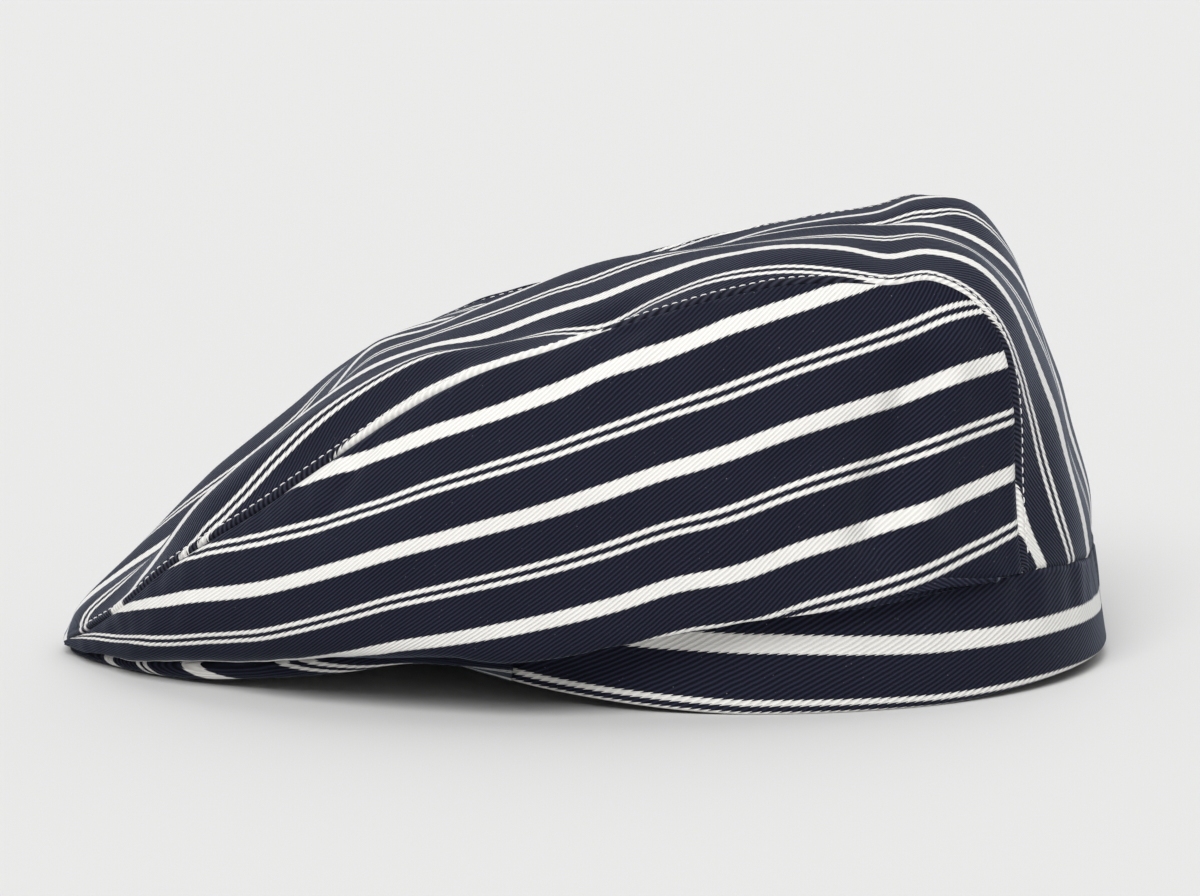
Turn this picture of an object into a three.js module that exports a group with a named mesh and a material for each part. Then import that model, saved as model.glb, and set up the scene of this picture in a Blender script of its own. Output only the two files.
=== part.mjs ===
// A butcher-striped chef's beret with a sewn-down peak, lying on a table with its head hole down.
// Millimetres, +Z up. The peak's tip is at -X and the back of the head at +X, left and right
// panels nearly mirror each other about Y = 0, and Z = 0 is the table that the band and the peak touch.

import * as THREE from 'three';

// ---------------------------------------------------------------------------------------------
// Driving sizes

const CLOTH_WALL = 1.6; // doubled cotton twill of the crown panels
const TIP_WALL = 1.0; // the same cloth pressed flat at the tip
const BAND_WALL = 2.6; // folded and fused cloth of the head band
const BAND_GAP = 0.3; // air between the peak's inner edge and the band
const SEAM_HALF_GAP = 0.17; // each panel's half of the air in a seam
const MITRE_LIMIT = 1.5; // longest mitre at a seam, in walls
const PEAK_THICKNESS_AT_BAND = 3.6;
const PEAK_ARCH = 3.0; // rise of the peak's middle above a straight line from rim to band

const HEAD_RING = { centreX: 42, halfLength: 98, halfWidth: 78 };

// How finely the curved sheets are cut.
const STATIONS_PER_ROW = 2;
const CROWN_ACROSS = 15;
const BAND_AROUND = 64;
const PEAK_AROUND = 37;

// A table turns named columns and short rows into one object for each row.
const table = (columns, rows) =>
  rows.map((row) => Object.fromEntries(columns.map((name, i) => [name, row[i]])));

// The crown's top panel, from the tip over the crown and down the back. The ridge is the seam to
// a side panel. near, mid and far are heights over the ridges' chord at three places across. lift
// is how much higher the right ridge stands, and hollow how deep the cloth sinks behind the left one;
// below nought it is a low fold there instead.
const CROWN = table(
  ['ridgeX', 'ridgeY', 'ridgeZ', 'near', 'mid', 'far', 'lift', 'hollow'],
  [
    [-138.6, 5.0, 3.5, 0.3, 0.4, 0.3, 0, 0],
    [-131.8, 13.5, 8.6, 2.4, 4.0, 2.6, 0, 0],
    [-120.8, 28.5, 19.2, 0.6, 3.0, 2.4, 0, 0],
    [-111.1, 36.0, 28.9, 2.0, 0.6, 2.4, 0, 0],
    [-98.8, 42.5, 38.4, 6.0, 1.0, 3.6, 0, 0],
    [-86.0, 47.5, 47.1, 8.0, 2.6, 5.0, 0, -0.6],
    [-74.1, 50.8, 56.1, 8.2, 4.0, 5.4, 0, -1.4],
    [-62.0, 53.2, 65.0, 8.0, 7.4, 5.6, 0.2, -2.2],
    [-50.0, 55.0, 73.5, 7.0, 9.6, 4.4, 0.4, -2.2],
    [-37.5, 56.0, 81.1, 4.8, 6.6, 2.2, -0.2, -2.8],
    [-23.9, 56.2, 87.4, 0.4, 7.2, -0.6, -0.8, -3],
    [-9.4, 55.2, 91.9, 0.6, 8.4, -1.8, -1.2, -0.6],
    [4.8, 53.2, 96.6, 1.2, 8.6, -2.0, -1.2, 3.4],
    [19.5, 51.0, 100.8, 2.8, 7.6, -1.8, -0.8, 1],
    [35.0, 49.0, 104.6, 4.4, 5.6, -0.8, -0.4, 0],
    [51.1, 47.2, 107.6, 4.6, 4.4, 0.6, 0.2, 0],
    [66.6, 45.8, 108.2, 4.2, 4.2, 1.0, 2.8, 0],
    [79.4, 45.0, 107.6, 2.6, 4.0, 1.2, 5.6, 0],
    [90.0, 45.0, 108.8, 2.2, 3.0, 2.2, 7.2, 0],
    [100.0, 45.0, 103.9, 3.4, 4.6, 5.4, 8.4, 0], // the back corner of the crown
    [107.6, 45.2, 95.6, 3.4, 7.2, 5.6, 6.2, 0],
    [111.6, 45.4, 84.0, 4.4, 9.8, 6.4, 2.6, 0],
    [113.0, 45.6, 70.0, 6.4, 13.6, 9.6, 0.6, 0],
    [113.2, 46.2, 56.0, 8.6, 16.6, 12.4, 0, 0],
    [114.0, 48.0, 42.0, 10.8, 20.4, 14.4, 0, 0],
    [115.0, 50.6, 31.8, 10.8, 20.6, 14.2, 0, 0],
  ],
);
const CORNER_ROW = 19;
const LAST_CROWN_ROW = CROWN.length - 1;
const CREST_AT = 0.76; // where near and far lie, as a share of the half width
const HOLLOW_AT = -0.79; // the hollow's middle, from -1 at the left ridge to 1 at the right one
const HOLLOW_WIDTH = 0.12;
const HEM_DROP = 5.6; // how much lower the top panel's hem hangs in the middle than at its corners
const HEM_DROP_FROM_ROW = 22;

// One side panel, a row for each section from the ridge down to its sewn lower edge.
const SIDE = table(
  ['x', 'shoulderY', 'shoulderZ', 'bellyY', 'bellyZ', 'foldY', 'foldZ', 'seamX', 'seamY', 'seamZ'],
  [
    [-138.2, 6.0, 3.1, 6.2, 2.7, 6.0, 2.3, -136.9, 5.2, 2.1],
    [-131.2, 17.5, 7.2, 20.0, 4.8, 19.4, 3.2, -130.6, 15.6, 2.7],
    [-120.6, 34.0, 15.2, 36.6, 9.4, 33.0, 4.8, -120.2, 27.6, 3.9],
    [-110.9, 42.6, 23.6, 45.6, 15.0, 41.6, 7.0, -110.6, 36.0, 5.2],
    [-98.9, 50.2, 31.4, 54.0, 19.6, 49.6, 8.6, -98.8, 44.0, 6.6],
    [-86.0, 57.0, 38.4, 62.4, 24.6, 58.4, 10.6, -86.0, 51.2, 8.4],
    [-74.0, 61.6, 45.2, 69.0, 29.4, 66.0, 12.6, -74.0, 57.0, 10.5],
    [-62.0, 65.4, 52.2, 74.6, 34.0, 72.4, 14.4, -62.0, 62.0, 12.6],
    [-50.0, 68.2, 59.0, 79.0, 38.0, 77.6, 15.0, -49.4, 66.2, 14.2],
    [-37.5, 69.6, 66.4, 81.8, 42.0, 81.6, 15.8, -36.0, 68.4, 17.4],
    [-24.0, 70.2, 73.0, 83.6, 45.6, 82.8, 15.4, -21.0, 65.6, 28.0],
    [-9.4, 69.8, 77.6, 84.4, 47.0, 83.6, 18.0, -5.0, 67.6, 36.2],
    [5.6, 68.6, 80.6, 84.4, 47.6, 84.2, 21.0, 12.0, 73.0, 35.4],
    [21.0, 67.0, 82.8, 83.4, 48.4, 84.4, 23.4, 29.0, 76.0, 33.8],
    [37.5, 65.0, 84.6, 81.6, 49.6, 83.6, 25.8, 46.0, 76.6, 33.0],
    [54.5, 62.4, 85.4, 78.2, 50.6, 81.2, 27.0, 62.0, 75.0, 32.8],
    [70.5, 59.4, 84.6, 73.6, 51.0, 77.2, 28.0, 77.0, 71.2, 32.6],
    [84.5, 56.2, 83.0, 68.4, 51.0, 70.8, 28.2, 91.0, 65.4, 32.8],
    [97.0, 52.6, 80.6, 61.6, 51.6, 62.6, 28.2, 104.0, 58.4, 31.8],
    [108.0, 47.5, 76.6, 53.6, 53.0, 55.0, 32.4, 115.0, 50.6, 31.8],
  ],
);
const LAST_SIDE_ROW = SIDE.length - 1;
const SIDE_KNOTS = [0, 0.34, 0.68, 0.9, 1]; // ridge, shoulder, belly, fold, seam
const DOWN_THE_SIDE = [0, 0.08, 0.2, 0.34, 0.46, 0.58, 0.68, 0.76, 0.82, 0.87, 0.91, 0.95, 1];
const SHOULDER_LEAN = 0.6; // how far the shoulder has moved from the ridge's x to the row's x
const FOLD_LEAN = 0.8; // how far the fold has moved from the row's x to the seam's x
const REAR_PULL_ROW = 14; // rows past this are drawn on to the ridge that runs down the back
const REAR_PULL_POWER = 2.5;

// The head band, a row every 30 degrees from the back of the head to the forehead.
const BAND = table(
  ['bottomZ', 'topZ', 'outAtBottom', 'outAtTop'],
  [
    [3.6, 25.6, 0, -4.2],
    [2.6, 28.6, 0, -2.4],
    [0, 30.2, 0, -1.0],
    [0, 30.8, 0, 0],
    [3.8, 33.4, 0, 0],
    [9.0, 38.4, 0, 0],
    [11.0, 40.6, 0, 0],
  ],
);

// The peak's rim, from the tip along one side to the corner where it dies into the band.
const PEAK = table(
  ['rimX', 'rimY', 'bottomZ', 'topZ'],
  [
    [-137.4, 0, 0.2, 2.1],
    [-135.8, 7.0, 0, 2.0],
    [-128.5, 17.8, 0, 2.5],
    [-118.0, 29.4, 0, 3.7],
    [-105.0, 39.8, 0.6, 5.2],
    [-90.0, 49.0, 2.6, 7.2],
    [-74.0, 57.0, 5.2, 9.8],
    [-60.0, 62.8, 8.0, 12.2],
    [-46.0, 67.3, 11.2, 13.6],
    [-32.0, 68.6, 11.0, 13.4],
    [-18.0, 65.6, 9.4, 12.0],
  ],
);
const PEAK_ACROSS = [0, 0.05, 0.3, 0.55, 0.8, 1];
const HORN_ANGLE = THREE.MathUtils.degToRad(128); // where the peak's inner edge ends on the band

// ---------------------------------------------------------------------------------------------
// Curves

// Catmull-Rom through four values, at f between the middle two.
const catmullRom = (a, b, c, d, f) =>
  0.5 * (2 * b + (c - a) * f + (2 * a - 5 * b + 4 * c - d) * f ** 2 + (3 * b - a - 3 * c + d) * f ** 3);

// A row of a table at any place t between its rows, each column running smoothly.
function rowAt(rows, t) {
  const last = rows.length - 1;
  const place = THREE.MathUtils.clamp(t, 0, last);
  const i = Math.min(Math.floor(place), last - 1);
  const row = {};
  for (const name of Object.keys(rows[0])) {
    const b = rows[i][name];
    const c = rows[i + 1][name];
    const a = i > 0 ? rows[i - 1][name] : 2 * b - c;
    const d = i < last - 1 ? rows[i + 2][name] : 2 * c - b;
    row[name] = catmullRom(a, b, c, d, place - i);
  }
  return row;
}

// A smooth curve through values at uneven knots: cubic pieces whose slope at a knot is the mean
// of the slopes on both sides, weighted towards the shorter one.
function through(values, knots, s) {
  const last = knots.length - 1;
  const width = (i) => knots[i + 1] - knots[i];
  const rise = (i) => (values[i + 1] - values[i]) / width(i);
  const inner = (i) => (rise(i - 1) * width(i) + rise(i) * width(i - 1)) / (width(i) + width(i - 1));
  const slope = (i) => {
    if (i === 0) return 1.5 * rise(0) - 0.5 * inner(1);
    if (i === last) return 1.5 * rise(last - 1) - 0.5 * inner(last - 1);
    return inner(i);
  };
  let k = 0;
  while (k < last - 1 && s >= knots[k + 1]) k += 1;
  const q = (s - knots[k]) / width(k);
  return (
    (2 * q ** 3 - 3 * q ** 2 + 1) * values[k] +
    (q ** 3 - 2 * q ** 2 + q) * width(k) * slope(k) +
    (3 * q ** 2 - 2 * q ** 3) * values[k + 1] +
    (q ** 3 - q ** 2) * width(k) * slope(k + 1)
  );
}

// ---------------------------------------------------------------------------------------------
// Surfaces

function ridgePoint(u, isRight = false) {
  const row = rowAt(CROWN, u);
  return new THREE.Vector3(row.ridgeX, row.ridgeY, row.ridgeZ + (isRight ? row.lift : 0));
}

// The top panel at row u and place across f, from -1 at the left ridge to 1 at the right one.
function topPoint(u, f) {
  const row = rowAt(CROWN, u);
  const step = 0.02;
  const along = ridgePoint(u + step).sub(ridgePoint(u - step)).setY(0).normalize();
  const up = new THREE.Vector3(-along.z, 0, along.x);
  const swell = through([0, row.near, row.mid, row.far, 0], [-1, -CREST_AT, 0, CREST_AT, 1], f);
  const height = swell - row.hollow * Math.exp(-(((f - HOLLOW_AT) / HOLLOW_WIDTH) ** 2));
  const chordZ = row.ridgeZ + (row.lift * (1 + f)) / 2;
  const nearHem = Math.max(0, (u - HEM_DROP_FROM_ROW) / (LAST_CROWN_ROW - HEM_DROP_FROM_ROW));
  const drop = HEM_DROP * nearHem ** 2 * (1 - f ** 2);
  return new THREE.Vector3(row.ridgeX, row.ridgeY * f, chordZ - drop).addScaledVector(up, height);
}

function sectionPoint(tau, s, isRight) {
  const row = rowAt(SIDE, tau);
  const ridge = ridgePoint(tau, isRight);
  const mix = THREE.MathUtils.lerp;
  const shoulderX = mix(ridge.x, row.x, SHOULDER_LEAN);
  const foldX = mix(row.x, row.seamX, FOLD_LEAN);
  const xs = [ridge.x, shoulderX, row.x, foldX, row.seamX];
  const ys = [ridge.y, row.shoulderY, row.bellyY, row.foldY, row.seamY];
  const zs = [ridge.z, row.shoulderZ, row.bellyZ, row.foldZ, row.seamZ];
  return new THREE.Vector3(...[xs, ys, zs].map((values) => through(values, SIDE_KNOTS, s)));
}

// A side panel, drawn on the right, at section tau and place s down it. Towards the back its
// sections are drawn on to the stretch of ridge that runs down from the corner.
function sidePoint(tau, s, isRight) {
  const rear = ridgePoint(THREE.MathUtils.lerp(CORNER_ROW, LAST_CROWN_ROW, s), isRight);
  const pull = THREE.MathUtils.clamp((tau - REAR_PULL_ROW) / (LAST_SIDE_ROW - REAR_PULL_ROW), 0, 1);
  const point = sectionPoint(tau, s, isRight);
  const last = sectionPoint(LAST_SIDE_ROW, s, isRight);
  return point.addScaledVector(rear.sub(last), pull ** REAR_PULL_POWER);
}

// The band's outer face at an angle from the back of the head and a height from 0 to 1, moved
// inwards by depth.
function bandPoint(angle, height, depth = 0) {
  const turn = Math.abs(THREE.MathUtils.euclideanModulo(angle + Math.PI, 2 * Math.PI) - Math.PI);
  const row = rowAt(BAND, (turn / Math.PI) * (BAND.length - 1));
  const out = THREE.MathUtils.lerp(row.outAtBottom, row.outAtTop, height) - depth;
  return new THREE.Vector3(
    HEAD_RING.centreX + (HEAD_RING.halfLength + out) * Math.cos(angle),
    (HEAD_RING.halfWidth + out) * Math.sin(angle),
    THREE.MathUtils.lerp(Math.max(row.bottomZ, 0), row.topZ, height),
  );
}

// The peak at a place k along its rim (negative on the left), a share w from rim to band.
function peakPoints(k, w) {
  const rim = rowAt(PEAK, Math.abs(k));
  const share = k / (PEAK.length - 1);
  const rimY = Math.sign(k) * rim.rimY;
  const inner = bandPoint(Math.PI - share * (Math.PI - HORN_ANGLE), 0, -BAND_GAP);
  const arch = PEAK_ARCH * Math.sin(Math.PI * w) * (1 - share ** 2);
  const mix = THREE.MathUtils.lerp;
  const place = (rimZ, innerZ) =>
    new THREE.Vector3(mix(rim.rimX, inner.x, w), mix(rimY, inner.y, w), mix(rimZ, innerZ, w) + arch);
  return {
    bottom: place(Math.max(rim.bottomZ, 0), inner.z),
    top: place(rim.topZ, inner.z + PEAK_THICKNESS_AT_BAND),
  };
}

// ---------------------------------------------------------------------------------------------
// Closed bodies from grids of points

const gridOf = (columns, rows, point) => columns.map((a) => rows.map((b) => point(a, b)));
const evenly = (from, to, count) =>
  Array.from({ length: count }, (_, i) => THREE.MathUtils.lerp(from, to, i / (count - 1)));
const mirrored = (grid) => grid.map((line) => line.map((p) => new THREE.Vector3(p.x, -p.y, p.z)));

// The unit normal at each point of a grid: the sum of the normals of the faces that meet there.
function normalsOf(grid) {
  const sums = grid.map((line) => line.map(() => new THREE.Vector3()));
  for (let i = 0; i < grid.length - 1; i += 1) {
    for (let j = 0; j < grid[0].length - 1; j += 1) {
      const acrossA = grid[i + 1][j + 1].clone().sub(grid[i][j]);
      const acrossB = grid[i][j + 1].clone().sub(grid[i + 1][j]);
      const normal = acrossA.cross(acrossB);
      for (const [a, b] of [[i, j], [i + 1, j], [i, j + 1], [i + 1, j + 1]]) sums[a][b].add(normal);
    }
  }
  return sums.map((line) => line.map((sum) => sum.normalize()));
}

// A closed body from a loop of quads: the list of corner points, and quads of their numbers.
function bodyFrom(points, quads) {
  const index = [];
  let volume = 0;
  for (const [a, b, c, d] of quads) {
    for (const triangle of [[a, b, c], [a, c, d]]) {
      index.push(...triangle);
      const [p, q, r] = triangle.map((i) => points[i]);
      volume += p.dot(q.clone().cross(r));
    }
  }
  if (volume < 0) index.reverse();
  const geometry = new THREE.BufferGeometry();
  geometry.setFromPoints(points);
  geometry.setIndex(index);
  geometry.computeVertexNormals();
  return geometry;
}

// A wall between two grids of the same size, closed along its four edges.
function wallBetween(outer, inner) {
  const rows = outer[0].length;
  const lines = outer.length;
  const points = [...outer.flat(), ...inner.flat()];
  const out = (i, j) => i * rows + j;
  const inn = (i, j) => lines * rows + i * rows + j;
  const quads = [];
  for (let i = 0; i < lines - 1; i += 1) {
    for (let j = 0; j < rows - 1; j += 1) {
      quads.push([out(i, j), out(i + 1, j), out(i + 1, j + 1), out(i, j + 1)]);
      quads.push([inn(i, j), inn(i, j + 1), inn(i + 1, j + 1), inn(i + 1, j)]);
    }
    quads.push([out(i, 0), inn(i, 0), inn(i + 1, 0), out(i + 1, 0)]);
    quads.push([out(i, rows - 1), out(i + 1, rows - 1), inn(i + 1, rows - 1), inn(i, rows - 1)]);
  }
  for (let j = 0; j < rows - 1; j += 1) {
    quads.push([out(0, j), out(0, j + 1), inn(0, j + 1), inn(0, j)]);
    quads.push([out(lines - 1, j), inn(lines - 1, j), inn(lines - 1, j + 1), out(lines - 1, j + 1)]);
  }
  return bodyFrom(points, quads);
}

// A ring from loops of section points, one loop for each place around it.
function ringFrom(loops) {
  const size = loops[0].length;
  const quads = [];
  loops.forEach((_, i) => {
    const next = (i + 1) % loops.length;
    for (let j = 0; j < size; j += 1) {
      const k = (j + 1) % size;
      quads.push([i * size + j, next * size + j, next * size + k, i * size + k]);
    }
  });
  return bodyFrom(loops.flat(), quads);
}

// ---------------------------------------------------------------------------------------------
// The crown: a top panel and two side panels that share the ridge seams

const stationsAlong = evenly(0, LAST_SIDE_ROW, LAST_SIDE_ROW * STATIONS_PER_ROW + 1);
const stationsDown = DOWN_THE_SIDE.slice(1).map((s) => THREE.MathUtils.lerp(CORNER_ROW, LAST_CROWN_ROW, s));
const crownStations = [...stationsAlong, ...stationsDown];
const crownAcross = evenly(-1, 1, CROWN_ACROSS);

// A point well inside the crown, which every panel's outer face turns away from.
const CROWN_INSIDE = new THREE.Vector3(20, 0, 40);


// Grid normals can come out either way round, so each grid's are turned away from the inside.
function outwardNormals(grid) {
  const normals = normalsOf(grid);
  const i = Math.floor(grid.length / 2);
  const j = Math.floor(grid[0].length / 2);
  const away = grid[i][j].clone().sub(CROWN_INSIDE);
  if (normals[i][j].dot(away) < 0) normals.flat().forEach((normal) => normal.negate());
  return normals;
}

// The wall thins over the first row, where the two side panels run out at the tip.
const wallAt = (row) => THREE.MathUtils.lerp(TIP_WALL, CLOTH_WALL, Math.min(row, 1));
const inwards = (point, direction, row) => point.clone().addScaledVector(direction, -wallAt(row));
const copied = (grid) => grid.map((line) => line.map((p) => p.clone()));

const topOuter = gridOf(crownStations, crownAcross, topPoint);
const topNormals = outwardNormals(topOuter);

// A side panel's grid, and where each ridge station lies in it.
function sideSheet(mirror) {
  const drawn = gridOf(stationsAlong, DOWN_THE_SIDE, (tau, place) => sidePoint(tau, place, !mirror));
  const grid = mirror ? mirrored(drawn) : drawn;
  return { grid, normals: outwardNormals(grid) };
}
const lastAlong = stationsAlong.length - 1;
const onSideEdge = (station) => [Math.min(station, lastAlong), Math.max(station - lastAlong, 0)];

// At each ridge station: the mitre that both walls share, and the way into the top panel.
function seamBetween(sheet, edge) {
  const inside = edge === 0 ? 1 : edge - 1;
  return crownStations.map((_, i) => {
    const [a, b] = onSideEdge(i);
    const ofTop = topNormals[i][edge];
    const mitre = ofTop.clone().add(sheet.normals[a][b]).normalize();
    mitre.multiplyScalar(Math.min(1 / mitre.dot(ofTop), MITRE_LIMIT));
    const next = topOuter[Math.min(i + 1, crownStations.length - 1)][edge];
    const before = topOuter[Math.max(i - 1, 0)][edge];
    const intoTop = next.clone().sub(before).cross(mitre).normalize();
    if (intoTop.dot(topOuter[i][inside].clone().sub(topOuter[i][edge])) < 0) intoTop.negate();
    return { mitre, intoTop };
  });
}

// The panels' walls are their grids moved inwards, except along the seams, where both walls
// end on the mitre with a little air between them.
function crownPanels() {
  const top = {
    outer: copied(topOuter),
    inner: topOuter.map((line, i) => line.map((p, j) => inwards(p, topNormals[i][j], crownStations[i]))),
  };
  const sides = [true, false].map((mirror) => {
    const sheet = sideSheet(mirror);
    const edge = mirror ? 0 : CROWN_ACROSS - 1;
    const outer = copied(sheet.grid);
    const thickened = (i) => (p, j) => inwards(p, sheet.normals[i][j], stationsAlong[i]);
    const inner = outer.map((line, i) => line.map(thickened(i)));
    seamBetween(sheet, edge).forEach(({ mitre, intoTop }, i) => {
      const [a, b] = onSideEdge(i);
      outer[a][b].addScaledVector(intoTop, -SEAM_HALF_GAP);
      inner[a][b] = inwards(outer[a][b], mitre, crownStations[i]);
      top.outer[i][edge].addScaledVector(intoTop, SEAM_HALF_GAP);
      top.inner[i][edge] = inwards(top.outer[i][edge], mitre, crownStations[i]);
    });
    return wallBetween(outer, inner);
  });
  return { top: wallBetween(top.outer, top.inner), left: sides[0], right: sides[1] };
}

// ---------------------------------------------------------------------------------------------
// The head band and the peak

const BAND_SECTION = [
  { height: 0, inside: false },
  { height: 0.3, inside: false },
  { height: 0.65, inside: false },
  { height: 1, inside: false },
  { height: 1, inside: true },
  { height: 0.65, inside: true },
  { height: 0.3, inside: true },
  { height: 0, inside: true },
];

function headBand() {
  const loops = Array.from({ length: BAND_AROUND }, (_, i) => {
    const angle = (2 * Math.PI * i) / BAND_AROUND;
    return BAND_SECTION.map(({ height, inside }) => bandPoint(angle, height, inside ? BAND_WALL : 0));
  });
  return ringFrom(loops);
}

function peak() {
  const last = PEAK.length - 1;
  const around = evenly(-last, last, PEAK_AROUND);
  const top = gridOf(around, PEAK_ACROSS, (k, w) => peakPoints(k, w).top);
  const bottom = gridOf(around, PEAK_ACROSS, (k, w) => peakPoints(k, w).bottom);
  return wallBetween(top, bottom);
}

// ---------------------------------------------------------------------------------------------
// The beret

const NAVY_TWILL = { color: 0x20243a, roughness: 0.86, metalness: 0 };

function piece(name, geometry) {
  const mesh = new THREE.Mesh(geometry, new THREE.MeshStandardMaterial(NAVY_TWILL));
  mesh.name = name;
  return mesh;
}

const crown = crownPanels();
const beret = new THREE.Group();
beret.add(
  piece('top_panel', crown.top),
  piece('side_panel_left', crown.left),
  piece('side_panel_right', crown.right),
  piece('head_band', headBand()),
  piece('peak', peak()),
);

export default beret;
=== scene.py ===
# %% [markdown]
# # A butcher-striped chef's beret
#
# The real thing is a soft cap cut from one cloth: navy cotton twill with cream stripes. A long
# top panel runs from the peak over the crown and down the back, two side panels are sewn to it
# along raised ridges, and all three hang on a folded head band and on the rim of a firm peak.
#
# Everything here is a sheet, so everything here is a function of two parameters on a grid. One
# parameter runs along the cloth and the other across it, which also gives each point its place
# on the flat cloth, and the stripes and the twill are drawn there.

# %% Load the frame that the part was packed in
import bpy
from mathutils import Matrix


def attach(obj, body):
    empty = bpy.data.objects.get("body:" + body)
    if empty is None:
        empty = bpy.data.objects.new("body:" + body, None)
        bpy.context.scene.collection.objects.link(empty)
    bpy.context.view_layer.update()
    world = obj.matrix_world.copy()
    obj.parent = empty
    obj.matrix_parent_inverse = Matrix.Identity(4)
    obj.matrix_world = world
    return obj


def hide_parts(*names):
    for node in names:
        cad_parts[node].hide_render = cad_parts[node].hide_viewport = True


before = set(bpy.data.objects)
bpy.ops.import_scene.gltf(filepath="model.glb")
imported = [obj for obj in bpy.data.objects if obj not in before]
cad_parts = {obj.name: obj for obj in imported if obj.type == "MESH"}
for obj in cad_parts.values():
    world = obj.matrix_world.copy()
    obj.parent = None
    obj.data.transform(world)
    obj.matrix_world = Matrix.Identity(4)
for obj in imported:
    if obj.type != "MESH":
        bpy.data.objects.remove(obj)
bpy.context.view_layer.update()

from types import SimpleNamespace

import bpy
import numpy as np
from mathutils import Vector

MM = 0.001  # all the shapes below are worked out in millimetres

# %% [markdown]
# ## The camera
#
# A hat catalogue shows a cap from the side, from far away and a little above, so that its length
# and height read true. A long lens from two metres does that. The camera is placed first, because
# it says how fine each piece has to be.

# %% Place the camera
CAMERA_TARGET = np.array([4.5, 0.0, 55.0]) * MM
CAMERA_DISTANCE = 2.0
CAMERA_ELEVATION = np.radians(11.0)
SENSOR_WIDTH = 36.0
FOCAL_LENGTH = 225.4


def aim(obj, place, target):
    """Put an object at place and turn its -Z axis towards target, with +Y up."""
    obj.location = place
    obj.rotation_euler = (Vector(target) - Vector(place)).to_track_quat("-Z", "Y").to_euler()


camera = bpy.data.objects.new("side_camera", bpy.data.cameras.new("side_camera"))
bpy.context.scene.collection.objects.link(camera)
camera.data.lens = FOCAL_LENGTH
camera.data.sensor_width = SENSOR_WIDTH
camera_offset = np.array([0.0, -np.cos(CAMERA_ELEVATION), np.sin(CAMERA_ELEVATION)]) * CAMERA_DISTANCE
aim(camera, CAMERA_TARGET + camera_offset, CAMERA_TARGET)
bpy.context.scene.camera = camera
print("camera at", np.round(camera.location, 3))

# %% [markdown]
# ## Tables and smooth curves
#
# A cloth pattern is a few measured stations with fair curves between them. The same is done here:
# each table has a row for a station and named columns, and a Catmull-Rom spline runs through each
# column, so the rows can be few.

# %% Curve helpers


def table(columns, rows):
    """Named columns of a short table: each column becomes an array down the rows."""
    return dict(zip(columns.split(), np.array(rows, float).T))


def at(rows, t):
    """A table's row at any place t between its rows.

    With f the share of the way from row b to row c, and a and d the rows on either side, each
    column is (2b + (c - a) f + (2a - 5b + 4c - d) f^2 + (3b - a - 3c + d) f^3) / 2.
    """
    last = len(next(iter(rows.values()))) - 1
    t = np.clip(np.asarray(t, float), 0, last)
    i = np.minimum(t.astype(int), last - 1)
    f = t - i
    found = {}
    for name, column in rows.items():
        b, c = column[i], column[i + 1]
        a = np.where(i > 0, column[np.maximum(i - 1, 0)], 2 * b - c)
        d = np.where(i < last - 1, column[np.minimum(i + 2, last)], 2 * c - b)
        bend = (2 * a - 5 * b + 4 * c - d) * f ** 2 + (3 * b - a - 3 * c + d) * f ** 3
        found[name] = 0.5 * (2 * b + (c - a) * f + bend)
    return SimpleNamespace(**found)


def through(values, knots, s):
    """A smooth curve through a list of values at uneven knots, at s.

    Between two knots it is the cubic with given slopes at both, and the slope at a knot is the
    mean of the slopes before and after it, weighted towards the shorter stretch.
    """
    values = np.broadcast_arrays(s, *values)[1:]
    width = np.diff(knots)
    rise = [(b - a) / w for a, b, w in zip(values, values[1:], width)]
    slope = [
        (p * v + q * w) / (v + w)
        for p, q, w, v in zip(rise, rise[1:], width, width[1:])
    ]
    slope = [1.5 * rise[0] - 0.5 * slope[0], *slope, 1.5 * rise[-1] - 0.5 * slope[-1]]
    result = np.zeros_like(values[0])
    for k, w in enumerate(width):
        q = (s - knots[k]) / w
        start = (2 * q ** 3 - 3 * q ** 2 + 1) * values[k] + (q ** 3 - 2 * q ** 2 + q) * w * slope[k]
        end = (3 * q ** 2 - 2 * q ** 3) * values[k + 1] + (q ** 3 - q ** 2) * w * slope[k + 1]
        result = np.where((s >= knots[k]) | (k == 0), start + end, result)
    return result


def ramp(x, low, high):
    """0 below low, 1 above high, and a smooth S between."""
    q = np.clip((x - low) / (high - low), 0, 1)
    return q * q * (3 - 2 * q)


# %% [markdown]
# ## The crown's shape
#
# The top panel is a strip between two ridges. Seen from the side the ridge climbs from the peak's
# tip to a corner at the back and then drops to the band. Across the strip the cloth rises off
# the straight line between the ridges by three heights: near the left ridge, in the middle, and
# near the right one. The left side has slumped into a tall soft fold, and the right has not, so
# near and far differ. Two more columns keep what wear has done: lift is how much higher the right
# ridge stands, and hollow is how deep the cloth sinks beside the left one, or below nought how high
# a low fold stands there. A simulation would have found some fold, but not this one. cut_half is
# half the panel's width on the flat cloth, which says where each stripe falls.
#
# A side panel goes from the ridge over a shoulder and a belly to a fold, and back up under itself
# to the band, where it is sewn. Its last three columns place the stripes: start is the flat cloth's
# place across at the ridge, ease how fast that grows down the panel, and bend a slow curve in it.

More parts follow.
